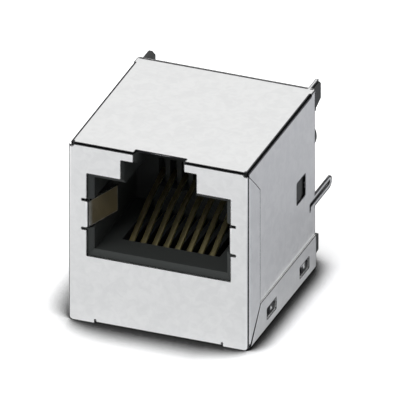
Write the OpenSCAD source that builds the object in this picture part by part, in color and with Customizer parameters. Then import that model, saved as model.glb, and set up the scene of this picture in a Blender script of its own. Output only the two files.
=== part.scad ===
// Shielded eight-way modular jack for a circuit board, upright type.
// The mating face looks along -Y, the latch slot is at the top, and the
// pegs, loop pins and solder tails leave the back towards the board.
// Millimetres. The origin is under the middle of the bounding box.

/* [Shell] */
// Width over the front panel and its folded flaps
shell_w = 16; // [15.6:0.1:17]
// Depth from the mating face to the back panel
shell_d = 15.8; // [15:0.1:18]
// Height from the bottom panel to the top panel
shell_h = 16.6; // [16.2:0.1:18]
// Thickness of the plated sheet
sheet_t = 0.15; // [0.12:0.01:0.2]
// Outer radius of the sheet's bends
bend_r = 0.3; // [0.26:0.01:0.4]
// Open width of the mitred seams along the top edges
seam_gap = 0.16; // [0.08:0.01:0.24]
// Hairline left between two edges of the folded sheet
fold_gap = 0.06; // [0.03:0.01:0.12]

/* [Port] */
// Width of the cut-out in the front panel
port_w = 12.7; // [12.4:0.05:12.9]
// Height of the cut-out's lower edge
port_z = 6.2; // [6:0.1:6.6]
// Height of the main cut-out
port_h = 7.7; // [7.5:0.05:7.8]
// Width of the upper step, where the latch passes
latch_w = 6.7; // [6.4:0.05:7.1]
// Height of that step over the main cut-out
latch_h = 1.8; // [1.6:0.05:1.85]
// Width of the slot for the latch lever, open at the top
lever_w = 4.5; // [4:0.05:5]
// Inset of the lead-in chamfer round the plug space
lead_in = 0.5; // [0.4:0.05:0.6]
// Inset of the chamfer round the latch steps
latch_lead_in = 0.25; // [0.15:0.05:0.35]
// Depth of the lead-in chamfer
lead_in_d = 0.35; // [0.25:0.05:0.5]
// Depth of the plug space behind the mating face
port_depth = 10.1; // [9.8:0.1:10.8]
// How far the top panel is notched back over the lever slot
top_notch = 0.5; // [0.3:0.1:0.9]
// Thickness of the lip that holds the latch
latch_lip = 1.2; // [1:0.1:1.6]

/* [Side springs] */
// Height of the middle of the two grounding springs
spring_z = 10.05; // [9.8:0.05:10.3]
// Height of each spring
spring_h = 2.5; // [2:0.05:2.8]
// Width of the relief slits over and under a spring
slit_w = 0.2; // [0.15:0.01:0.3]
// How far the slits run past the edge of the cut-out
slit_past = 0.45; // [0.3:0.05:0.6]
// How far a spring leans in from the edge of the cut-out
spring_in = 1.3; // [0.9:0.05:1.4]
// How far a spring reaches back
spring_reach = 3.7; // [3:0.1:4.2]

/* [Folded flaps] */
// Depth of the front panel's side flaps
flap_d = 2.6; // [2.2:0.05:3.2]
// Height of the bottom panel's side flaps
flap_h = 3.15; // [2.8:0.05:3.4]
// Width of the straight tabs at the lower front corners
corner_tab_w = 2.4; // [1.8:0.05:2.8]
// Length of the locking windows in the bottom flaps
lock_l = 2.15; // [1.8:0.05:2.4]
// Height of the locking windows
lock_h = 1; // [0.85:0.05:1.2]
// Height of the middle of the locking windows
lock_z = 1.4; // [1.2:0.05:1.6]
// Distance of the front locking window from the mating face
lock_front_y = 5.2; // [4.6:0.1:6.2]
// Distance of the rear locking window from the mating face
lock_rear_y = 12.75; // [12.2:0.05:13.2]
// Gap left at the ends of a lance
lance_gap = 0.22; // [0.12:0.01:0.3]
// How far the locking lances stand out
lance_out = 0.13; // [0.08:0.01:0.15]

/* [Side windows] */
// Length and height of the windows over the housing's catches
window_s = 1.9; // [1.5:0.1:2.2]
// Distance of the windows' middle from the mating face
window_y = 12.35; // [11.5:0.05:12.8]
// Height of the windows' middle
window_z = 8.9; // [8.2:0.1:10]
// How far the catches stand out
catch_out = 0.15; // [0.1:0.01:0.2]

/* [Board side] */
// Length of the loop pins behind the back panel
loop_l = 3.65; // [3:0.05:4.4]
// Width of the loop pins
loop_w = 1.1; // [0.9:0.05:1.4]
// Width of the slit through a loop pin
loop_slit = 0.2; // [0.14:0.02:0.3]
// Height of the loop pins' middle
loop_z = 6.3; // [5.8:0.05:6.6]
// Diameter of the round locating pegs
peg_d = 3.2; // [2.8:0.05:3.25]
// Distance between the pegs
peg_span = 10.16; // [9.8:0.02:10.3]
// Height of the pegs' middle
peg_z = 10.3; // [9.8:0.1:10.5]
// Length of the pegs behind the back panel
peg_l = 3.25; // [2.8:0.05:3.6]
// Step at the root of a peg, which stands on the board like a foot
peg_step = 0.2; // [0.15:0.01:0.22]
// Stand-off of the feet behind the back panel
foot_l = 1.1; // [0.9:0.1:1.4]
// Width of the lower feet
foot_w = 1.2; // [0.9:0.1:1.4]
// Height of the lower feet
foot_h = 1.65; // [1.2:0.05:1.9]
// Height of the lower feet's underside
foot_z = 0.8; // [0.72:0.02:0.95]
// Length of the upper corner posts behind the back panel
post_l = 1.65; // [1.4:0.05:2.2]
// Width of the corner posts
post_w = 0.7; // [0.5:0.05:0.9]
// Height of the corner posts at the back panel
post_h = 2.1; // [1.7:0.05:2.2]
// Height of the corner posts at their ends
post_tip_h = 1.5; // [1.2:0.05:1.6]
// Bevel on the outer top edge of the corner posts
post_bevel = 0.12; // [0.05:0.01:0.2]
// Width of the top panel's tongue over the right corner post
tongue_w = 0.26; // [0.2:0.01:0.3]
// Strip of the post's top left bare outside the tongue
tongue_edge = 0.08; // [0.04:0.01:0.12]
// Chamfer on the inner top edge of the corner posts
post_chamfer = 0.3; // [0.2:0.05:0.4]

/* [Contacts] */
// Number of contacts
contact_count = 8; // [8]
// Distance between neighbouring contacts
pitch = 1.016; // [0.98:0.004:1.04]
// Width of a contact
wire_w = 0.45; // [0.35:0.01:0.5]
// Thickness of a contact
wire_t = 0.3; // [0.2:0.01:0.35]
// Distance of the hairpin's middle from the mating face
hairpin_y = 3.3; // [3.1:0.05:3.5]
// Radius of the hairpin at the middle of the wire
hairpin_r = 0.7; // [0.6:0.05:0.8]
// Depth of the hairpin's middle under the floor of the port
hairpin_drop = 0.9; // [0.85:0.05:1]
// Rise of the first stretch of the spring, in degrees
rise_low = 25.5; // [22:0.5:27]
// Rise of the second stretch, in degrees
rise_high = 16.5; // [12:0.5:19]
// Depth at which the spring turns from the first stretch to the second
knee_y = 7.1; // [6.6:0.1:7.4]
// How far the tips reach into the comb at the back of the port
tip_in = 0.65; // [0.4:0.05:0.9]
// Length of the solder tails behind the back panel
tail_l = 3.3; // [2.8:0.1:3.5]
// Distance between the two rows of solder tails
row_gap = 2.54; // [2:0.02:2.6]

/* [Fits] */
// Clearance between the housing and the shell
shell_fit = 0.05; // [0.03:0.01:0.08]
// Clearance between the insert and its pocket
insert_fit = 0.05; // [0.03:0.01:0.08]
// Clearance round a contact in the insert
wire_fit = 0.02; // [0.01:0.01:0.04]
// Clearance at each side of a contact in its groove and comb slot
groove_fit = 0.08; // [0.06:0.01:0.1]
// Clearance round feet, posts and pegs in the back panel
back_fit = 0.12; // [0.08:0.01:0.2]

/* [Hidden] */
$fn = 48;
far = 30;                       // longer than any cut needs
eps = 0.01;                     // overlap of solids that are joined

y_front = -(shell_d + loop_l) / 2;
bend_mid = bend_r - sheet_t / 2;
side_out = shell_w / 2 - sheet_t;
side_in = side_out - sheet_t;
flap_rear_y = shell_d - bend_r - fold_gap;

body_x = side_in - shell_fit;
body_y0 = sheet_t + shell_fit;
body_y1 = shell_d - sheet_t - shell_fit;
body_z0 = sheet_t + shell_fit;
body_z1 = shell_h - sheet_t - shell_fit;

port_top = port_z + port_h;
latch_top = port_top + latch_h;
floor_z = port_z + lead_in;
roof_z = port_top - lead_in;
plug_w = port_w - 2 * lead_in;
latch_in_w = latch_w - 2 * latch_lead_in;
lever_in_w = lever_w - 2 * latch_lead_in;
latch_room_z = body_z1 - 0.45;  // under the roof of the latch space
pocket_wall = 0.4;              // plastic left outside the spring pockets

comb_w = wire_w + 2 * groove_fit;
well_w = (contact_count - 1) * pitch + comb_w + 0.9;
well_drop = 0.75;
well_y = hairpin_y - 0.45;
web_t = 0.1;                    // floor left over the hairpins
run_z = floor_z - hairpin_drop - hairpin_r;
knee_z = rise_z(knee_y);
tip_y = port_depth + tip_in;
tip_z = knee_z + (tip_y - knee_y) * tan(rise_high);
comb_top = tip_z + 1.3;
comb_low = tip_z - 1.3;
comb_d = tip_in + 0.5;
low_row_z = run_z - row_gap;
jog_y = port_depth + 2.1;       // where the lower row turns down

insert_w = (contact_count - 1) * pitch + 2.7;
insert_y0 = port_depth + 0.6;
insert_y1 = body_y1 - 0.1;
insert_z0 = low_row_z - 1.15;
insert_z1 = run_z + 0.75;

spring_root = port_w / 2 + slit_past;
peg_root_d = peg_d + 2 * peg_step;
back_window_x = peg_span / 2 + peg_root_d / 2 + back_fit;
back_window_top = peg_z + peg_root_d / 2 + 3 * back_fit;
loop_root_y = shell_d - 1.4;     // where the slit of a loop pin starts
loop_relief = 0.4;              // length of the relief at its start
lance_rim = 0.1;                // sheet left between a lance's slot and its window
corner_r = 0.5;                 // rounding of the front panel's lower corners
relief_d = 0.36;                // holes where the three mitred seams meet

// Height of the wire's middle on the first rise, at a distance from the face
function rise_z(y) = floor_z - hairpin_drop + hairpin_r / cos(rise_low)
    + (y - hairpin_y) * tan(rise_low);

// ---- outlines of bent strip ----

function unit(v) = v / norm(v);
function turned(v, a) = [v[0] * cos(a) - v[1] * sin(a), v[0] * sin(a) + v[1] * cos(a)];
function turn_angle(u, v) = atan2(u[0] * v[1] - u[1] * v[0], u * v);

// Arc of radius r that replaces the corner b of the path a, b, c
function corner_arc(a, b, c, r, steps) =
    let (u = unit(b - a), v = unit(c - b), turn = turn_angle(u, v),
         start = b - u * r * tan(abs(turn) / 2),
         centre = start + sign(turn) * r * turned(u, 90))
    [for (i = [0:steps]) centre + turned(start - centre, turn * i / steps)];

function rounded_path(p, r, steps = 8) = [
    p[0],
    for (i = [1:len(p) - 2]) each corner_arc(p[i - 1], p[i], p[i + 1], r, steps),
    p[len(p) - 1]
];

// Direction across the path at point i, long enough to mitre the corner
function across(p, i) =
    let (u = unit(p[max(i, 1)] - p[max(i, 1) - 1]),
         v = unit(p[min(i + 1, len(p) - 1)] - p[min(i + 1, len(p) - 1) - 1]),
         m = unit(u + v))
    turned(m, 90) / (m * u);

module strip(p, t) {
    n = len(p) - 1;
    polygon([
        for (i = [0:n]) p[i] + across(p, i) * t / 2,
        for (i = [n:-1:0]) p[i] - across(p, i) * t / 2
    ]);
}

// A drawing in X and Y stays as it is, and is extruded up from z0 to z1
module along_z(z0, z1) translate([0, 0, z0]) linear_extrude(z1 - z0) children();
// A drawing in X and Z, extruded back from y0 to y1
module along_y(y0, y1) translate([0, y1, 0]) rotate([90, 0, 0]) linear_extrude(y1 - y0) children();
// A drawing in Y and Z, extruded across from x0 to x1
module along_x(x0, x1) translate([x0, 0, 0]) rotate([90, 0, 90]) linear_extrude(x1 - x0) children();

module both_sides() {
    children();
    mirror([1, 0, 0]) children();
}

module placed() translate([0, y_front, 0]) children();

module box(x0, x1, y0, y1, z0, z1) translate([x0, y0, z0]) cube([x1 - x0, y1 - y0, z1 - z0]);

// ---- front shield: front panel, side flaps, bottom panel and its flaps ----

module port_outline() {
    translate([-port_w / 2, port_z]) square([port_w, port_h]);
    translate([-latch_w / 2, port_z]) square([latch_w, port_h + latch_h]);
    translate([-lever_w / 2, port_z]) square([lever_w, far]);
    for (side = [-1, 1], edge = [-1, 1])
        translate([side * port_w / 4, spring_z + edge * (spring_h + slit_w) / 2])
            square([port_w / 2 + 2 * slit_past, slit_w], center = true);
}

// Removes what lies above the mitre plane through the upper front edge
module above_front_mitre(gap) {
    reach = far * sqrt(2);
    along_x(-far, far)
        polygon([
            [-reach, shell_h + reach - gap],
            [reach, shell_h - reach - gap],
            [reach, shell_h + reach]
        ]);
}

// Hole at the upper front corner, where the seams meet
module corner_relief()
    translate([side_out - relief_d / 2, -1, shell_h - relief_d / 2])
        rotate([-90, 0, 0]) cylinder(d = relief_d, h = 1 + bend_r + fold_gap);

module front_wrap() {
    mid_x = shell_w / 2 - corner_tab_w;
    difference() {
        along_z(0, shell_h)
            strip(rounded_path([
                [-shell_w / 2 + sheet_t / 2, flap_d],
                [-shell_w / 2 + sheet_t / 2, sheet_t / 2],
                [shell_w / 2 - sheet_t / 2, sheet_t / 2],
                [shell_w / 2 - sheet_t / 2, flap_d]
            ], bend_mid), sheet_t);
        along_y(-1, sheet_t + eps) port_outline();
        above_front_mitre(seam_gap / sqrt(2));
        // mitred upper and lower ends of the side flaps
        along_x(-far, far) {
            polygon([
                [sheet_t + eps, shell_h + 1], [sheet_t + eps, shell_h - bend_r - fold_gap],
                [flap_d + eps, shell_h - flap_d - fold_gap], [flap_d + eps, shell_h + 1]
            ]);
            polygon([
                [sheet_t + eps, -1], [sheet_t + eps, 0.5],
                [bend_r + fold_gap, 0.5], [flap_d + eps, flap_h], [flap_d + eps, -1]
            ]);
        }
        // the middle of the lower edge is bent back into the bottom panel
        box(-mid_x, mid_x, -1, 1, -1, bend_r);
        both_sides() {
            box(mid_x - fold_gap, mid_x + fold_gap, -1, 1, -1, bend_r + fold_gap);
            along_y(-1, sheet_t + 2 * eps) difference() {
                translate([shell_w / 2 - corner_r, -1]) square([2, 1 + corner_r]);
                translate([shell_w / 2 - corner_r, corner_r]) circle(r = corner_r);
            }
            corner_relief();
        }
    }
}

module bottom_wrap() {
    mid_x = shell_w / 2 - corner_tab_w;
    difference() {
        along_y(0, flap_rear_y)
            strip(rounded_path([
                [-shell_w / 2 + sheet_t / 2, flap_h],
                [-shell_w / 2 + sheet_t / 2, sheet_t / 2],
                [shell_w / 2 - sheet_t / 2, sheet_t / 2],
                [shell_w / 2 - sheet_t / 2, flap_h]
            ], bend_mid), sheet_t);
        // room for the corner tabs, and the mitre against the side flaps
        along_x(-far, far)
            polygon([
                [-1, -1], [bend_r + fold_gap, -1], [bend_r + fold_gap, sheet_t],
                [flap_d + 2 * fold_gap, flap_h + eps], [-1, flap_h + eps]
            ]);
        for (y = [lock_front_y, lock_rear_y])
            translate([0, y, lock_z]) cube([far, lock_l, lock_h], center = true);
    }
    along_x(-mid_x + fold_gap, mid_x - fold_gap)
        strip(rounded_path([
            [sheet_t / 2, 1.5], [sheet_t / 2, sheet_t / 2], [1.5, sheet_t / 2]
        ], bend_mid), sheet_t);
}

module side_spring() {
    along_z(spring_z - spring_h / 2, spring_z + spring_h / 2)
        strip(rounded_path([
            [spring_root + eps, sheet_t / 2],
            [port_w / 2 - 0.05, sheet_t / 2],
            [port_w / 2 - spring_in, spring_reach]
        ], bend_mid), sheet_t);
}

module front_shield() {
    color("lightgray") placed() {
        difference() {
            front_wrap();
            // the springs take the place of the panel between their slits
            both_sides()
                box(port_w / 2 - 1, spring_root, -1, sheet_t + eps,
                    spring_z - spring_h / 2 - eps, spring_z + spring_h / 2 + eps);
        }
        bottom_wrap();
        both_sides() side_spring();
    }
}

// ---- rear shield: back panel, top panel, side panels, loop pins ----

module side_and_back() {
    edge = bend_r + fold_gap;   // clear of the bends that wrap round it
    along_z(edge, shell_h)
        strip(rounded_path([
            [-side_out + sheet_t / 2, edge],
            [-side_out + sheet_t / 2, shell_d - sheet_t / 2],
            [side_out - sheet_t / 2, shell_d - sheet_t / 2],
            [side_out - sheet_t / 2, edge]
        ], bend_mid), sheet_t);
}

module top_panel() {
    along_x(-side_out, side_out)
        strip(rounded_path([
            [-eps, shell_h - sheet_t / 2],
            [shell_d - sheet_t / 2, shell_h - sheet_t / 2],
            [shell_d - sheet_t / 2, shell_h - 2]
        ], bend_mid), sheet_t);
}

// Slit along a loop pin, with a short relief down at its start
module loop_cut(y1) {
    translate([loop_root_y, loop_z - loop_slit / 2]) {
        square([y1 - loop_root_y, loop_slit]);
        translate([0, -loop_relief]) square([2 * fold_gap, loop_relief + eps]);
    }
}

module loop_pin() {
    tip_y = shell_d + loop_l - loop_w / 2;
    along_x(side_in, side_out) difference() {
        union() {
            translate([loop_root_y, loop_z - loop_w / 2])
                square([tip_y - loop_root_y, loop_w]);
            translate([tip_y, loop_z]) circle(d = loop_w);
        }
        loop_cut(tip_y);
        translate([tip_y, loop_z]) circle(d = loop_slit);
    }
}

// Narrow tongue of the top panel, over the right corner post
module top_tongue() {
    x1 = body_x - post_bevel - tongue_edge;
    box(x1 - tongue_w, x1, shell_d - 2 * bend_r, shell_d + post_l,
        shell_h - sheet_t, shell_h);
}

// Tongue of the side panel, bent out to catch in a flap's locking window
module lance(y) {
    half = lock_l / 2 - 2 * lance_gap;
    z1 = lock_z + lock_h / 2 - lance_rim;
    z0 = lock_z - lock_h / 2 + lance_rim + lance_gap;
    along_y(y - half, y + half)
        polygon([
            [side_in, z1], [side_out, z1],
            [side_out + lance_out, z0], [side_in + lance_out, z0]
        ]);
}

module lance_slot(y) {
    half = lock_l / 2 - lance_gap / 2;
    box(side_in - 1, side_out + 1, y - half, y + half,
        lock_z - lock_h / 2 + lance_rim, lock_z + lock_h / 2 - lance_rim);
}

module back_cuts() {
    y0 = shell_d - bend_r - eps;
    lower = foot_z - back_fit;
    upper = foot_z + foot_h + back_fit;
    // one opening for the pegs and the solder tails
    box(-back_window_x, back_window_x, y0, far, lower, back_window_top);
    both_sides() {
        // it widens to the sides for the lower feet
        box(0, side_in, y0, far, lower, upper);
        // notches for the corner posts
        box(body_x - post_w - back_fit, side_in, y0, far,
            body_z1 - post_h - back_fit, shell_h - sheet_t);
        // the loop pins run straight out beside the back panel's bend
        box(back_window_x - eps, far, y0, far,
            loop_z - loop_w / 2 - fold_gap, loop_z + loop_w / 2 + fold_gap);
    }
}

module rear_shield() {
    color("lightgray") placed() {
        difference() {
            union() {
                side_and_back();
                top_panel();
            }
            // front edge of the top panel, mitred and notched over the slot
            difference() {
                box(-far, far, -1, sheet_t + eps, 0, far);
                above_front_mitre(-seam_gap / sqrt(2));
            }
            box(-lever_w / 2, lever_w / 2, -1, sheet_t + top_notch, shell_h - 1, far);
            // mitred seams between the top panel and the side panels
            both_sides()
                translate([side_out, 0, shell_h]) rotate([0, 45, 0])
                    cube([seam_gap, 2 * (shell_d - bend_r - post_w), 2], center = true);
            back_cuts();
            both_sides() {
                corner_relief();
                translate([side_out, window_y, window_z]) cube([2, window_s, window_s], center = true);
                lance_slot(lock_front_y);
                lance_slot(lock_rear_y);
                along_x(side_in - 1, side_out + 1) loop_cut(far);
            }
        }
        top_tongue();
        both_sides() {
            loop_pin();
            lance(lock_front_y);
            lance(lock_rear_y);
        }
    }
}

// ---- housing: moulded body with the plug space, feet, posts and pegs ----

// Space that narrows from the mating face inwards, drawn as the meeting of
// a wedge seen from above and a wedge seen from the side
module lead_in_space(w, z0, z1, inset, z0_inset, z1_inset) {
    y0 = body_y0 - eps;
    y1 = body_y0 + lead_in_d;
    intersection() {
        along_z(z0 - 1, z1 + 1)
            polygon([[-w / 2, y0], [w / 2, y0], [w / 2 - inset, y1], [-w / 2 + inset, y1]]);
        along_x(-far, far)
            polygon([[y0, z0], [y1, z0 + z0_inset], [y1, z1 - z1_inset], [y0, z1]]);
    }
}

module plug_space() {
    y1 = body_y0 + lead_in_d - eps;
    lead_in_space(port_w, port_z, port_top, lead_in, lead_in, lead_in);
    lead_in_space(latch_w, port_top - 2 * lead_in, latch_top, latch_lead_in, 0, latch_lead_in);
    lead_in_space(lever_w, port_top - 2 * lead_in, shell_h + 1, latch_lead_in, 0, 0);
    box(-plug_w / 2, plug_w / 2, y1, port_depth, floor_z, roof_z);
    box(-latch_in_w / 2, latch_in_w / 2, y1, port_depth, floor_z, latch_top - latch_lead_in);
    // behind its lip the latch springs up, under the roof
    box(-latch_in_w / 2, latch_in_w / 2, body_y0 + latch_lip, port_depth, floor_z, latch_room_z);
    box(-lever_in_w / 2, lever_in_w / 2, y1, port_depth / 2, floor_z, shell_h + 1);
}

module spring_pockets() {
    margin = slit_w / 2;
    both_sides()
        box(plug_w / 2 - eps, body_x - pocket_wall, body_y0 - eps, spring_reach + 0.9,
            spring_z - spring_h / 2 - margin, spring_z + spring_h / 2 + margin);
}

module at_contacts() {
    for (i = [0:contact_count - 1])
        translate([(i - (contact_count - 1) / 2) * pitch, 0, 0]) children();
}

module contact_ways() {
    front_y = hairpin_y - hairpin_r - wire_t / 2 - groove_fit;
    // sunk part of the floor under the springs
    box(-well_w / 2, well_w / 2, well_y, port_depth, floor_z - well_drop, floor_z + eps);
    at_contacts() {
        // groove from the hairpin back to the insert
        box(-comb_w / 2, comb_w / 2, front_y, insert_y0 + eps,
            run_z - wire_t / 2 - groove_fit, floor_z - well_drop + eps);
        box(-comb_w / 2, comb_w / 2, front_y, well_y + eps,
            run_z, floor_z - web_t);
        // slot for the tip, in the back wall of the port
        box(-comb_w / 2, comb_w / 2, port_depth - eps, port_depth + comb_d, comb_low, comb_top);
    }
}

module insert_pocket() {
    box(-insert_w / 2 - insert_fit, insert_w / 2 + insert_fit, insert_y0 - insert_fit, far,
        insert_z0 - insert_fit, insert_z1 + insert_fit);
}

module locating_peg() {
    tip = 0.4;
    translate([peg_span / 2, body_y1 - eps, peg_z]) rotate([-90, 0, 0]) {
        length = peg_l + shell_d - body_y1;
        cylinder(d = peg_root_d, h = foot_l + shell_d - body_y1 + eps);
        cylinder(d = peg_d, h = length - tip);
        translate([0, 0, length - tip]) cylinder(d1 = peg_d, d2 = peg_d - 2 * tip, h = tip);
    }
}

module lower_foot() {
    taper = 0.15;
    along_x(body_x - foot_w, body_x)
        polygon([
            [body_y1 - eps, foot_z], [shell_d + foot_l, foot_z + taper],
            [shell_d + foot_l, foot_z + foot_h], [body_y1 - eps, foot_z + foot_h]
        ]);
}

module corner_post() {
    x1 = body_x;
    x0 = body_x - post_w;
    z1 = body_z1;
    intersection() {
        along_y(body_y1 - eps, shell_d + post_l)
            polygon([
                [x0, z1 - post_h], [x1, z1 - post_h], [x1, z1 - post_bevel],
                [x1 - post_bevel, z1], [x0 + post_chamfer, z1], [x0, z1 - post_chamfer]
            ]);
        along_x(0, far)
            polygon([
                [body_y1 - 1, z1 - post_h], [shell_d, z1 - post_h],
                [shell_d + post_l, z1 - post_tip_h],
                [shell_d + post_l, z1 + 1], [body_y1 - 1, z1 + 1]
            ]);
    }
}

// Ramped catch that holds the housing in the rear shield's side window
module side_catch() {
    half = window_s / 2 - 0.08;
    along_z(window_z - half, window_z + half)
        polygon([
            [body_x - eps, window_y - half], [body_x + catch_out, window_y - half],
            [body_x + catch_out, window_y], [body_x - eps, window_y + half]
        ]);
}

module housing() {
    color([0.2, 0.2, 0.21]) placed() {
        difference() {
            box(-body_x, body_x, body_y0, body_y1, body_z0, body_z1);
            plug_space();
            spring_pockets();
            contact_ways();
            insert_pocket();
        }
        both_sides() {
            locating_peg();
            lower_foot();
            corner_post();
            side_catch();
        }
    }
}

// ---- contacts: each one a bent strip from its solder tail to its tip ----

// Path of a contact in Y and Z, from the tail to the tip in the comb
function tail_z(i) = i % 2 == 1 ? low_row_z : run_z;
// The hairpin turns up from the run until it points along the first rise
function hairpin(steps) = [
    for (k = [0:steps])
        let (a = 270 - k * (180 - rise_low) / steps)
        [hairpin_y + hairpin_r * cos(a), run_z + hairpin_r + hairpin_r * sin(a)]
];
function tail_path(i) = tail_z(i) == run_z
    ? [[shell_d + tail_l, run_z], [insert_y0, run_z]]
    : rounded_path([
        [shell_d + tail_l, low_row_z], [jog_y + row_gap / 2, low_row_z],
        [jog_y, run_z], [insert_y0, run_z]
    ], 0.4, 4);
function spring_path() = rounded_path([
    [hairpin_y, rise_z(hairpin_y)], [knee_y, knee_z], [tip_y, tip_z]
], 2, 4);
function contact_path(i) = concat(tail_path(i), hairpin(12), spring_path());

module contact(i) {
    x = (i - (contact_count + 1) / 2) * pitch;
    color([0.72, 0.58, 0.3]) placed()
        along_x(x - wire_w / 2, x + wire_w / 2) strip(contact_path(i), wire_t);
}

module contact_1() contact(1);
module contact_2() contact(2);
module contact_3() contact(3);
module contact_4() contact(4);
module contact_5() contact(5);
module contact_6() contact(6);
module contact_7() contact(7);
module contact_8() contact(8);

// ---- insert that carries the contacts, pushed into the housing's back ----

module contact_insert() {
    color([0.25, 0.25, 0.26]) placed() difference() {
        box(-insert_w / 2, insert_w / 2, insert_y0, insert_y1, insert_z0, insert_z1);
        for (i = [1:contact_count]) {
            x = (i - (contact_count + 1) / 2) * pitch;
            half = wire_w / 2 + wire_fit;
            along_x(x - half, x + half) strip(contact_path(i), wire_t + 2 * wire_fit);
        }
    }
}

front_shield();
rear_shield();
housing();
contact_insert();
contact_1();
contact_2();
contact_3();
contact_4();
contact_5();
contact_6();
contact_7();
contact_8();
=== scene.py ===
# %% [markdown]
# # A shielded board jack
#
# This lesson dresses a small jack that is soldered to a circuit board. On the
# real thing a thin plated sheet is folded round a moulded black port, and
# eight sprung wires inside the port touch the plug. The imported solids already
# give every size and place, so the lesson is about what makes such a small
# object look real: softened edges, the line along each fold, the clouded
# plating, the dark inside and the bent wires.

# %% Load the solids
import math

import bpy
from mathutils import Matrix, Vector


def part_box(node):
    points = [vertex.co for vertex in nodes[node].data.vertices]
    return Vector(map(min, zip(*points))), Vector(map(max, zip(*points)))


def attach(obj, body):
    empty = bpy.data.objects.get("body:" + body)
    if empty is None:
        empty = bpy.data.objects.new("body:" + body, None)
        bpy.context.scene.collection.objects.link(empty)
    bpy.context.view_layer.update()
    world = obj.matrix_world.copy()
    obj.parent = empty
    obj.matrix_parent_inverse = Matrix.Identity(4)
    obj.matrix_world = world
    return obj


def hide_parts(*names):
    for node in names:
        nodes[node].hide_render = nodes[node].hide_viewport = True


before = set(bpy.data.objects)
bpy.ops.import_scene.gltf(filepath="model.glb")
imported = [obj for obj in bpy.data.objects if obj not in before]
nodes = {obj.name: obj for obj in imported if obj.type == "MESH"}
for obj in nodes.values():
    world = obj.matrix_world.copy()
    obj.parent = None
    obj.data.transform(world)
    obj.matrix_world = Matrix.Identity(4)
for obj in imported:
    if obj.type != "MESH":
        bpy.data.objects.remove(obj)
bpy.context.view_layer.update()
scene = bpy.context.scene
MM = 0.001
print("nodes:", ", ".join(sorted(nodes)))

# %% [markdown]
# Much of the lesson works on one object at a time. An operator acts on all
# that is selected, so a small helper first clears the selection and then
# picks the one piece that the next operator should change.

# %% Select one piece


def select_only(piece):
    """Leave only this piece selected, and make it the active one."""
    bpy.ops.object.select_all(action="DESELECT")
    piece.select_set(True)
    bpy.context.view_layer.objects.active = piece


# %% [markdown]
# ## Camera
#
# A small part looks right from far away, where its parallel edges stay
# parallel. An orthographic camera gives that at once.
# Its place is worked out from two angles, which are easier to adjust than
# three coordinates: the turn to the right of the front, and the rise.

# %% Camera
view_turn = math.radians(21.0)
view_rise = math.radians(28.5)
view_width = 32.98 * MM
view_target = Vector((-0.07 * MM, 0.0, 7.71 * MM))
view_distance = 0.3
to_camera = Vector((
    math.sin(view_turn) * math.cos(view_rise),
    -math.cos(view_turn) * math.cos(view_rise),
    math.sin(view_rise)))

camera_data = bpy.data.cameras.new("camera")
camera_data.type = "ORTHO"
camera_data.ortho_scale = view_width
camera_data.clip_start = 0.01
camera_data.clip_end = 5.0
camera = bpy.data.objects.new("camera", camera_data)
scene.collection.objects.link(camera)
camera.location = view_target + to_camera * view_distance
camera.rotation_euler = to_camera.to_track_quat("Z", "Y").to_euler()
scene.camera = camera
print("camera turned", round(math.degrees(view_turn), 1), "and raised",
      round(math.degrees(view_rise), 1), "degrees")

# %% [markdown]
# ## Shared effects
#
# An effect that several finishes use is built once, as a node group with
# named inputs, and is then placed in each material with its own values. The
# helper below makes such a group from two short lists, so that each group's
# cell holds only what the effect does.

# %% Helpers for node groups
FLOAT = "NodeSocketFloat"


def new_group(name, inputs, outputs):
    """Make a shader node group with the named float inputs and outputs."""
    group = bpy.data.node_groups.new(name, "ShaderNodeTree")
    for label, value in inputs.items():
        socket = group.interface.new_socket(
            label, in_out="INPUT", socket_type=FLOAT)
        socket.default_value = value
    for label in outputs:
        group.interface.new_socket(
            label, in_out="OUTPUT", socket_type=FLOAT)
    return (group, group.nodes.new("NodeGroupInput"),
            group.nodes.new("NodeGroupOutput"))


def smooth_step(tree, value, low, high):
    """Map a value to 0 below low and to 1 above high, with soft ends."""
    node = tree.nodes.new("ShaderNodeMapRange")
    node.interpolation_type = "SMOOTHSTEP"
    node.inputs["From Min"].default_value = low
    node.inputs["From Max"].default_value = high
    tree.links.new(value, node.inputs["Value"])
    return node.outputs["Result"]


def math_node(tree, operation, first, second):
    """Join two sockets, or a socket and a number, by one sum."""
    node = tree.nodes.new("ShaderNodeMath")
    node.operation = operation
    for socket, value in zip(node.inputs, (first, second)):
        if isinstance(value, (int, float)):
            socket.default_value = value
        else:
            tree.links.new(value, socket)
    return node.outputs["Value"]


# %% [markdown]
# Thin sheet shows a fine dark line along each fold and each cut edge, where
# the surface turns too sharply to reflect the light that the flats catch,
# and a thin bright rim beside it. Here both are painted into the colour: the
# core is painted shade and the rim a painted highlight. It could be drawn as
# geometry, but a mask is lighter: the Bevel node gives the normal of a
# softened edge, and where that differs from the surface's own normal there is
# an edge close by. Two steps of that difference give a core and a rim. A
# rounded fold has no sharp edge to find, but its normal leans away from all
# three axes, and that gives the same core of painted shade along it. The sides
# are seen at a slant, so their lines are drawn wider.

# %% Fold line effect (painted shade and painted highlight)
core_turn = (0.02, 0.07)    # how far the normal turns in the dark core
near_turn = (0.001, 0.01)   # and in the zone that holds core and rim
side_widening = 0.7         # how much wider a line is drawn on the sides

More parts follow.
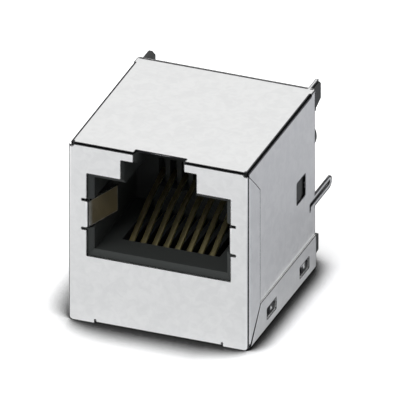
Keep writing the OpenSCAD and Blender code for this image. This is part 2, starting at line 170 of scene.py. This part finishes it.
fold_group, fold_in, fold_out = new_group(
    "painted_fold_line", {"Radius": 0.2 * MM, "Bend From": 0.1, "Bend To": 0.2},
    ["Core", "Rim", "Bend"])
soft_normal = fold_group.nodes.new("ShaderNodeBevel")
soft_normal.samples = 8
surface = fold_group.nodes.new("ShaderNodeNewGeometry")
agreement = fold_group.nodes.new("ShaderNodeVectorMath")
agreement.operation = "DOT_PRODUCT"
link = fold_group.links.new
lean = fold_group.nodes.new("ShaderNodeSeparateXYZ")
link(surface.outputs["True Normal"], lean.inputs["Vector"])
sideways = math_node(fold_group, "ABSOLUTE", lean.outputs["X"], 0.0)
slant = math_node(fold_group, "MULTIPLY_ADD", sideways, side_widening)
slant.node.inputs[2].default_value = 1.0
link(math_node(fold_group, "MULTIPLY", fold_in.outputs["Radius"], slant),
     soft_normal.inputs["Radius"])
link(soft_normal.outputs["Normal"], agreement.inputs[0])
link(surface.outputs["True Normal"], agreement.inputs[1])
turned = math_node(fold_group, "SUBTRACT", 1.0, agreement.outputs["Value"])
core = smooth_step(fold_group, turned, *core_turn)
near = smooth_step(fold_group, turned, *near_turn)
soft_lean = fold_group.nodes.new("ShaderNodeSeparateXYZ")
link(soft_normal.outputs["Normal"], soft_lean.inputs["Vector"])
widest = 0.0
for axis in "XYZ":
    size = math_node(fold_group, "ABSOLUTE", soft_lean.outputs[axis], 0.0)
    widest = math_node(fold_group, "MAXIMUM", size, widest)
bend = fold_group.nodes.new("ShaderNodeMapRange")
bend.interpolation_type = "SMOOTHSTEP"
link(math_node(fold_group, "SUBTRACT", 1.0, widest), bend.inputs["Value"])
link(fold_in.outputs["Bend From"], bend.inputs["From Min"])
link(fold_in.outputs["Bend To"], bend.inputs["From Max"])
link(bend.outputs["Result"], fold_out.inputs["Bend"])
# Core and Bend mark where painted shade goes, Rim where a painted highlight
# goes
link(core, fold_out.inputs["Core"])
link(math_node(fold_group, "SUBTRACT", near, core), fold_out.inputs["Rim"])
print("group painted_fold_line:", len(fold_group.nodes), "nodes")

# %% [markdown]
# Tin plating is never quite even. It dries in soft patches just under a
# millimetre wide, over a much finer grain. Two noise textures on Object
# coordinates give both, and stay on the piece wherever it is moved.

# %% Cloudy plating effect
cloud_group, cloud_in, cloud_out = new_group(
    "cloudy_plating", {"Patch Scale": 900.0, "Grain Scale": 9000.0},
    ["Patches", "Grain"])
place = cloud_group.nodes.new("ShaderNodeTexCoord")
for label, detail, distortion in (("Patch", 3.0, 0.8), ("Grain", 1.0, 0.0)):
    noise = cloud_group.nodes.new("ShaderNodeTexNoise")
    noise.inputs["Detail"].default_value = detail
    noise.inputs["Distortion"].default_value = distortion
    cloud_group.links.new(place.outputs["Object"], noise.inputs["Vector"])
    cloud_group.links.new(
        cloud_in.outputs[label + " Scale"], noise.inputs["Scale"])
    result = cloud_out.inputs["Patches" if label == "Patch" else "Grain"]
    cloud_group.links.new(noise.outputs["Fac"], result)
print("group cloudy_plating:", len(cloud_group.nodes), "nodes")

# %% [markdown]
# ## Finishes
#
# Every finish starts from the same three steps: a new material, a group or
# two placed in it, and colours mixed by the masks that the groups put out.

# %% Helpers for materials


def new_material(name, roughness, metallic=0.0):
    material = bpy.data.materials.new(name)
    material.use_nodes = True
    shader = material.node_tree.nodes["Principled BSDF"]
    shader.inputs["Roughness"].default_value = roughness
    shader.inputs["Metallic"].default_value = metallic
    return material, material.node_tree, shader


def place_group(tree, group, values):
    node = tree.nodes.new("ShaderNodeGroup")
    node.node_tree = group
    for label, value in values.items():
        node.inputs[label].default_value = value
    return node.outputs


def mix_colors(tree, factor, first, second):
    """Blend two colours, each a tuple or a socket, by a mask."""
    node = tree.nodes.new("ShaderNodeMix")
    node.data_type = "RGBA"
    tree.links.new(factor, node.inputs["Factor"])
    for socket, value in ((node.inputs[6], first), (node.inputs[7], second)):
        if isinstance(value, tuple):
            socket.default_value = (*value, 1.0)
        else:
            tree.links.new(value, socket)
    return node.outputs[2]


# %% [markdown]
# The shell is tin-plated steel with a soft sheen: a metal, but a rough one
# that spreads what it reflects. The clouds move its colour and its roughness
# a little. The front sheet also carries two springs that reach into the port,
# where they mirror dark plastic and look bronze. A mask on the place inside
# the port paints that darker bronze into their colour, a painted reflection
# of the dark port, so the folded sheet stays one piece.

# %% Plated sheet
sheet_dull = (0.778, 0.782, 0.782)
sheet_bright = (0.832, 0.836, 0.834)
# painted shade for fold cores and rounded folds, painted highlight for their
# rims
fold_painted_shade = (0.02, 0.02, 0.022)
fold_painted_highlight = (0.99, 0.99, 0.99)
# painted reflection of the dark port on the springs, not the sheet's own colour
spring_painted_reflection = (0.42, 0.37, 0.26)
sheet_roughness = 0.42
roughness_spread = 0.04
line_radius = 0.15 * MM
front_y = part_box("front_shield")[0][1]
spring_start = (front_y + 0.2 * MM, front_y + 0.7 * MM)
spring_half_x = 7.0 * MM
spring_low_z = 1.0 * MM
spring_high_z = 15.0 * MM


def plated_sheet(name, springs_inside, bend_from, bend_to):
    material, tree, shader = new_material(name, sheet_roughness, 1.0)
    clouds = place_group(tree, cloud_group, {"Patch Scale": 1300.0})
    lines = place_group(tree, fold_group, {
        "Radius": line_radius, "Bend From": bend_from, "Bend To": bend_to})
    bend = lines["Bend"]
    cloud_mask = smooth_step(tree, clouds["Patches"], 0.3, 0.7)
    color = mix_colors(tree, cloud_mask, sheet_dull, sheet_bright)
    # painted reflection: the springs inside the port get a darker bronze colour
    if springs_inside:
        coords = tree.nodes.new("ShaderNodeTexCoord")
        axes = tree.nodes.new("ShaderNodeSeparateXYZ")
        tree.links.new(coords.outputs["Object"], axes.inputs["Vector"])
        behind = smooth_step(tree, axes.outputs["Y"], *spring_start)
        across = math_node(tree, "ABSOLUTE", axes.outputs["X"], 0.0)
        between = math_node(tree, "LESS_THAN", across, spring_half_x)
        above = math_node(
            tree, "GREATER_THAN", axes.outputs["Z"], spring_low_z)
        below = math_node(
            tree, "LESS_THAN", axes.outputs["Z"], spring_high_z)
        inside = math_node(
            tree, "MULTIPLY",
            math_node(tree, "MULTIPLY", behind, between),
            math_node(tree, "MULTIPLY", above, below))
        color = mix_colors(tree, inside, color, spring_painted_reflection)
        bend = math_node(
            tree, "MULTIPLY", bend, math_node(tree, "SUBTRACT", 1.0, inside))
    # paint the highlight along each rim, then the shade in each core and
    # rounded fold
    color = mix_colors(tree, lines["Rim"], color, fold_painted_highlight)
    dark = math_node(tree, "MAXIMUM", lines["Core"], bend)
    color = mix_colors(tree, dark, color, fold_painted_shade)
    tree.links.new(color, shader.inputs["Base Color"])
    rough = tree.nodes.new("ShaderNodeMapRange")
    rough.inputs["To Min"].default_value = sheet_roughness - roughness_spread
    rough.inputs["To Max"].default_value = sheet_roughness + roughness_spread
    tree.links.new(cloud_mask, rough.inputs["Value"])
    tree.links.new(rough.outputs["Result"], shader.inputs["Roughness"])
    return material


# the rear sheet's low bend values paint shade over more of each rounded fold
front_sheet = plated_sheet("front_sheet", True, 0.1, 0.2)
rear_sheet = plated_sheet("rear_sheet", False, 0.0005, 0.006)
print("finishes:", front_sheet.name, rear_sheet.name)

# %% [markdown]
# The housing is a glass-filled plastic, near black and half matt. Moulded
# plastic has a faint skin texture rather than a colour pattern, so the grain
# goes to a low bump and the colour stays plain. The insert behind the port
# is moulded apart from the same kind of plastic, a shade darker.

# %% Moulded plastics


def moulded_plastic(name, tone, roughness):
    material, tree, shader = new_material(name, roughness)
    shader.inputs["Base Color"].default_value = (*tone, 1.0)
    shader.inputs["Specular IOR Level"].default_value = 0.16
    clouds = place_group(tree, cloud_group, {"Grain Scale": 14000.0})
    bump = tree.nodes.new("ShaderNodeBump")
    bump.inputs["Strength"].default_value = 0.15
    bump.inputs["Distance"].default_value = 0.01 * MM
    tree.links.new(clouds["Grain"], bump.inputs["Height"])
    tree.links.new(bump.outputs["Normal"], shader.inputs["Normal"])
    return material


port_plastic = moulded_plastic("port_plastic", (0.034, 0.037, 0.036), 0.42)
insert_plastic = moulded_plastic("insert_plastic", (0.03, 0.031, 0.03), 0.5)
print("finishes:", port_plastic.name, insert_plastic.name)

# %% [markdown]
# The contacts are phosphor bronze under a thin gold flash. Deep in the black
# port they look olive brown. The wire is a plain metal with a little cloud in
# its colour.

# %% Contact metal
contact_metal, tree, shader = new_material("contact_metal", 0.36, 1.0)
clouds = place_group(tree, cloud_group, {"Patch Scale": 2500.0})
bronze_dull = (0.5, 0.44, 0.22)
bronze_bright = (0.66, 0.58, 0.31)
bronze = mix_colors(tree, clouds["Patches"], bronze_dull, bronze_bright)
tree.links.new(bronze, shader.inputs["Base Color"])
print("finish:", contact_metal.name)

# %% [markdown]
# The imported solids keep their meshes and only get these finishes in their
# slots. The dictionary gives each kind of piece its finish.

# %% Dress the solids
finishes = {
    "front_shield": front_sheet, "rear_shield": rear_sheet,
    "housing": port_plastic, "contact_insert": insert_plastic}
for name, node in nodes.items():
    for slot in node.material_slots:
        slot.material = finishes.get(name, contact_metal)
print("dressed", len(nodes), "nodes")

# %% [markdown]
# ## Softened shells
#
# A real stamping has no perfectly sharp edge, and without a soft edge there
# is nothing to catch the light. The solids of the two shields and the housing
# are exact but sharp, so each gets a copy with its loose triangles merged,
# its flats dissolved into single faces and a narrow bevel applied. The bevel
# is clamped, so that it never grows past a narrow slit or tab. Weighted
# normals then keep the large flats evenly lit, because the wide faces decide
# how the narrow ones are shaded.

# %% Soften a copy of a solid
merge_within = 0.002 * MM
flat_within = math.radians(0.5)
bevel_above = math.radians(40)
smooth_below = math.radians(35)


def softened_copy(node_name, piece_name, finish, width):
    piece = nodes[node_name].copy()
    piece.data = nodes[node_name].data.copy()
    piece.name = piece.data.name = piece_name
    scene.collection.objects.link(piece)
    select_only(piece)
    bpy.ops.object.mode_set(mode="EDIT")
    bpy.ops.mesh.select_all(action="SELECT")
    bpy.ops.mesh.remove_doubles(threshold=merge_within)
    bpy.ops.mesh.dissolve_limited(angle_limit=flat_within)
    bpy.ops.object.mode_set(mode="OBJECT")
    rim = piece.modifiers.new("rounded_edges", "BEVEL")
    rim.width = width
    rim.segments = 2
    rim.limit_method = "ANGLE"
    rim.angle_limit = bevel_above
    rim.use_clamp_overlap = True
    rim.miter_outer = "MITER_ARC"
    bpy.ops.object.modifier_apply(modifier=rim.name)
    bpy.ops.object.shade_smooth_by_angle(angle=smooth_below)
    even = piece.modifiers.new("even_flats", "WEIGHTED_NORMAL")
    even.mode = "FACE_AREA"
    even.weight = 100
    even.keep_sharp = True
    bpy.ops.object.modifier_apply(modifier=even.name)
    piece.data.materials.clear()
    piece.data.materials.append(finish)
    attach(piece, "root")
    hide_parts(node_name)
    print(piece_name, "has", len(piece.data.polygons), "faces")
    return piece


# %% [markdown]
# Sheet that was cut by a die keeps a narrower edge than moulded plastic, so
# the shields get half the bevel of the port body.

# %% The two shields and the port body
sheet_edge = 0.02 * MM
plastic_edge = 0.04 * MM
softened_copy(
    "front_shield", "front_shell", front_sheet, sheet_edge)
softened_copy(
    "rear_shield", "rear_shell", rear_sheet, sheet_edge)
port_body = softened_copy(
    "housing", "port_body", port_plastic, plastic_edge)

# %% [markdown]
# Seen past the corner of the shell, the pegs reach a little further back than
# the solids have them, and a sliver of black plastic shows there. Nothing
# else on the housing lies so far back, so the ends of both pegs are picked by
# their place and pulled out in edit mode, which lengthens the round shafts.

# %% Longer pegs
peg_end_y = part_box("housing")[1][1]
peg_chamfer = 0.4 * MM
peg_margin = 0.1 * MM
peg_short_of_pins = 0.01 * MM
peg_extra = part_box("rear_shield")[1][1] - peg_end_y - peg_short_of_pins
select_only(port_body)
bpy.ops.object.mode_set(mode="EDIT")
bpy.ops.mesh.select_mode(type="VERT")
bpy.ops.mesh.select_all(action="DESELECT")
bpy.ops.object.mode_set(mode="OBJECT")
for vertex in port_body.data.vertices:
    vertex.select = vertex.co.y > peg_end_y - peg_chamfer - peg_margin
bpy.ops.object.mode_set(mode="EDIT")
bpy.ops.transform.translate(value=(0.0, peg_extra, 0.0))
bpy.ops.object.mode_set(mode="OBJECT")
print("pegs longer by", round(peg_extra / MM, 3), "mm")

# %% [markdown]
# ## Contact springs
#
# Each contact is one stamped wire. It leaves the board side as a straight
# tail, runs through the insert, turns back on itself in a hairpin at the
# front and rises towards the rear of the port, where the plug presses on it.
# It could be a curve with a bevel, but a stamped wire has a rectangular
# section and a rounded edge, so it is modelled as it is bent: a small face is
# extruded for each straight run and spun for each bend. The contacts differ
# only in their tails, which leave in two rows, so there are two masters.

# %% Sizes of a contact
wire_w = 0.45 * MM
wire_t = 0.3 * MM
edge_soft = 0.03 * MM
point_l = 0.3 * MM
point_share = 0.6
pitch = 1.016 * MM
contact_count = 8
hairpin_r = 0.7 * MM
jog_r = 0.4 * MM
knee_r = 2.0 * MM
low_rise = 25.5
high_rise = 16.5
hairpin_to_knee = 3.8 * MM
hairpin_to_tip = 7.45 * MM
insert_to_jog = 1.5 * MM

tail_end_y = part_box("contact_1")[1][1]
insert_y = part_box("contact_insert")[0][1]
hairpin_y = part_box("contact_2")[0][1] + wire_t / 2 + hairpin_r
high_row_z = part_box("contact_2")[0][2] + wire_t / 2
low_row_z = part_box("contact_1")[0][2] + wire_t / 2
print("rows at", round(low_row_z / MM, 2), "and",
      round(high_row_z / MM, 2), "mm")

# %% [markdown]
# Two moves make the whole path. The first pushes the end face along its own
# direction. The second spins it round a centre that lies to one side of the
# path, square to its direction. Both keep track of where the path is and
# which way it points, as a bending machine does.

# %% Bend a wire
JOG_STEPS, HAIRPIN_STEPS, KNEE_STEPS = 5, 14, 3


def select_none():
    bpy.ops.object.select_all(action="DESELECT")


class WireBender:
    """The end face of a wire in edit mode, with its place and direction.

    The direction is an angle in degrees, seen from the left: 0 points to
    the rear, 90 up and 180 to the front.
    """

    def __init__(self, name, start, angle):
        select_none()
        bpy.ops.mesh.primitive_plane_add(
            size=1.0, location=start, rotation=(math.radians(90), 0, 0))
        self.piece = bpy.context.object
        self.piece.name = self.piece.data.name = name
        self.at, self.angle = Vector(start), angle
        bpy.ops.object.mode_set(mode="EDIT")
        self.scale(wire_w, 1.0, wire_t)

    def heading(self, turn=0.0):
        angle = math.radians(self.angle + turn)
        return Vector((0.0, math.cos(angle), math.sin(angle)))

    def scale(self, *factors):
        bpy.ops.transform.resize(value=factors, center_override=self.at)

    def push(self, length):
        """Extrude the end face straight on."""
        step = self.heading() * length
        bpy.ops.mesh.extrude_region_move(
            TRANSFORM_OT_translate={"value": step})
        self.at += step

    def bend(self, turn, radius, steps):
        """Spin the end face through a turn in degrees."""
        centre = self.at + self.heading(math.copysign(90, turn)) * radius
        bpy.ops.mesh.spin(
            steps=steps, angle=-math.radians(turn), center=centre,
            axis=(1, 0, 0))
        self.angle += turn
        self.at = centre - self.heading(math.copysign(90, turn)) * radius


def corner_length(turn, radius):
    """How much of each straight side a rounded corner takes up."""
    return radius * math.tan(math.radians(abs(turn)) / 2)


# %% [markdown]
# A low contact first climbs to the high row inside the insert, and from there
# both kinds take the same path. Contacts 1 and 2 are bent, and the others are
# copies of them, each with a mesh of its own that is shifted by the pitch.

# %% Two masters, eight contacts


def tail_low(wire):
    """Run in on the low row and climb to the high one inside the insert."""
    rise = high_row_z - low_row_z
    climb = 180 - math.degrees(math.atan2(rise, rise / 2))
    taken = corner_length(180 - climb, jog_r)
    wire.push(wire.at.y - (insert_y + insert_to_jog + rise / 2) - taken)
    wire.bend(climb - 180, jog_r, JOG_STEPS)
    wire.push(math.hypot(rise, rise / 2) - 2 * taken)
    wire.bend(180 - climb, jog_r, JOG_STEPS)


def make_contact(number, name):
    """Bend one contact from the end of its tail to the tip under the plug."""
    low = number % 2 == 1
    x = (number - (contact_count + 1) / 2) * pitch
    row_z = low_row_z if low else high_row_z
    wire = WireBender(name, (x, tail_end_y, row_z), 180)
    wire.scale(point_share, 1.0, point_share)
    wire.push(point_l)
    wire.scale(1 / point_share, 1.0, 1 / point_share)
    if low:
        tail_low(wire)
    wire.push(wire.at.y - hairpin_y)
    wire.bend(low_rise - 180, hairpin_r, HAIRPIN_STEPS)
    low_slope = math.cos(math.radians(low_rise))
    high_slope = math.cos(math.radians(high_rise))
    taken = corner_length(low_rise - high_rise, knee_r)
    wire.push((hairpin_y + hairpin_to_knee - wire.at.y) / low_slope - taken)
    wire.bend(high_rise - low_rise, knee_r, KNEE_STEPS)
    wire.push((hairpin_y + hairpin_to_tip - wire.at.y) / high_slope)
    bpy.ops.mesh.select_all(action="SELECT")
    bpy.ops.mesh.remove_doubles(threshold=0.001 * MM)
    bpy.ops.mesh.normals_make_consistent(inside=False)
    bpy.ops.object.mode_set(mode="OBJECT")
    return wire.piece


def finish_contact(piece):
    """Round the stamped edges and put the piece's place into its mesh."""
    select_only(piece)
    bpy.ops.object.transform_apply(location=True, rotation=True, scale=True)
    soft = piece.modifiers.new("coined_edges", "BEVEL")
    soft.width = edge_soft
    soft.segments = 2
    soft.angle_limit = bevel_above
    bpy.ops.object.modifier_apply(modifier=soft.name)
    bpy.ops.object.shade_smooth_by_angle(angle=smooth_below)
    piece.data.materials.append(contact_metal)


def own_copy(piece, name, shift):
    """Copy a piece with its own mesh, moved sideways inside that mesh."""
    twin = piece.copy()
    twin.data = piece.data.copy()
    twin.name = twin.data.name = name
    scene.collection.objects.link(twin)
    twin.data.transform(Matrix.Translation((shift, 0.0, 0.0)))
    return twin


masters = {}
for number in (1, 2):
    masters[number] = make_contact(number, "spring_wire_" + str(number))
    finish_contact(masters[number])

wires = [masters[1], masters[2]]
for number in range(3, contact_count + 1):
    first = 2 - number % 2
    wires.append(own_copy(masters[first], "spring_wire_" + str(number),
                          (number - first) * pitch))

for number, wire in enumerate(wires, start=1):
    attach(wire, "root")
    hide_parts("contact_" + str(number))
top = max(vertex.co.z for vertex in masters[2].data.vertices)
tip_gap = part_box("contact_2")[1][2] - top
print("tip", round(tip_gap / MM, 4), "mm under the solid's")

# %% [markdown]
# ## Floor and light
#
# The jack stands on white. The floor's own colour and a camera-only glow make
# it white, so that no extra light falls on the metal. Close to the body the
# floor's colour darkens within a few millimetres: a painted contact shadow. An
# ambient occlusion node finds that zone. Metal shows what it mirrors, and the
# front and the side both mirror the floor, so painted shade makes the floor a
# little darker on the right: that, and not a second lamp, sets the two faces
# apart.

# %% Floor
floor_size = 2.0
floor_z = -0.01 * MM
shadow_side = (4.0 * MM, 9.0 * MM)      # where the shadow's reach shrinks
shadow_reach = (6.0 * MM, 3.0 * MM)     # from the left to the right
open_from, open_to = 0.53, 1.0
# painted shade: between these places the floor's colour turns darker to the
# right
painted_shade_span = (5.0 * MM, 14.0 * MM)      # where the paper turns darker
paper_left = (0.93, 0.935, 0.945)
floor_painted_shade = (0.69, 0.7, 0.74)
# colour of the painted contact shadow near the body
shadow_tone = (0.03, 0.03, 0.03)
floor_glow = 0.7

select_none()
bpy.ops.mesh.primitive_plane_add(size=floor_size, location=(0, 0, floor_z))
floor = bpy.context.object
floor.name = "floor"

floor_white, tree, shader = new_material("floor_white", 0.9)
shader.inputs["Specular IOR Level"].default_value = 0.0
corner = tree.nodes.new("ShaderNodeAmbientOcclusion")
corner.samples = 16
coords = tree.nodes.new("ShaderNodeTexCoord")
axes = tree.nodes.new("ShaderNodeSeparateXYZ")
tree.links.new(coords.outputs["Object"], axes.inputs["Vector"])
reach = tree.nodes.new("ShaderNodeMapRange")
limits = zip(("From Min", "From Max", "To Min", "To Max"),
             shadow_side + shadow_reach)
for label, value in limits:
    reach.inputs[label].default_value = value
tree.links.new(axes.outputs["X"], reach.inputs["Value"])
tree.links.new(reach.outputs["Result"], corner.inputs["Distance"])
rays = tree.nodes.new("ShaderNodeLightPath")
to_camera_ray = rays.outputs["Is Camera Ray"]
# painted contact shadow: the occlusion zone darkens the floor's colour for
# camera rays
open_floor = smooth_step(tree, corner.outputs["AO"], open_from, open_to)
others = math_node(tree, "SUBTRACT", 1.0, to_camera_ray)
open_floor = math_node(tree, "MAXIMUM", open_floor, others)
# painted shade on the right of the floor, which the metal side mirrors
to_right = smooth_step(tree, axes.outputs["X"], *painted_shade_span)
shaded_floor = mix_colors(tree, to_right, paper_left, floor_painted_shade)
tree.links.new(mix_colors(tree, open_floor, shadow_tone, shaded_floor),
               shader.inputs["Base Color"])
shader.inputs["Emission Color"].default_value = (1.0, 1.0, 1.0, 1.0)
glow = math_node(tree, "MULTIPLY", to_camera_ray, floor_glow)
glow = math_node(tree, "MULTIPLY", glow, open_floor)
tree.links.new(glow, shader.inputs["Emission Strength"])
floor.data.materials.append(floor_white)
print("floor", round(floor.dimensions.x, 2), "m wide")

# %% [markdown]
# The world is a plain pale studio that mirrors as white in the metal. One
# large soft lamp over the left shoulder of the camera lights the floor, which
# the metal then mirrors. The lamp itself is kept out of the reflections, so
# that no face burns out when the jack is seen from another side.

# %% World and lamp
world_fill = 0.45       # strength for the rays that only light surfaces
key_size = 0.45
key_power = 2.2
key_place = (-0.20, -0.36, 0.34)

world = bpy.data.worlds.new("pale_studio")
scene.world = world
world.use_nodes = True
tree = world.node_tree
background = tree.nodes["Background"]
background.inputs["Color"].default_value = (1.0, 1.0, 1.0, 1.0)
rays = tree.nodes.new("ShaderNodeLightPath")
seen = rays.outputs["Is Camera Ray"]
for kind in ("Is Glossy Ray", "Is Transmission Ray"):
    seen = math_node(tree, "MAXIMUM", seen, rays.outputs[kind])
level = tree.nodes.new("ShaderNodeMapRange")
level.inputs["To Min"].default_value = world_fill
tree.links.new(seen, level.inputs["Value"])
tree.links.new(level.outputs["Result"], background.inputs["Strength"])

key_data = bpy.data.lights.new("key", "AREA")
key_data.shape = "SQUARE"
key_data.size = key_size
key_data.energy = key_power
key = bpy.data.objects.new("key", key_data)
scene.collection.objects.link(key)
key.location = key_place
from_target = key.location - view_target
key.rotation_euler = from_target.to_track_quat("Z", "Y").to_euler()
key.visible_glossy = False
scene.view_settings.view_transform = "Standard"
print("key lamp at", [round(value, 2) for value in key.location])
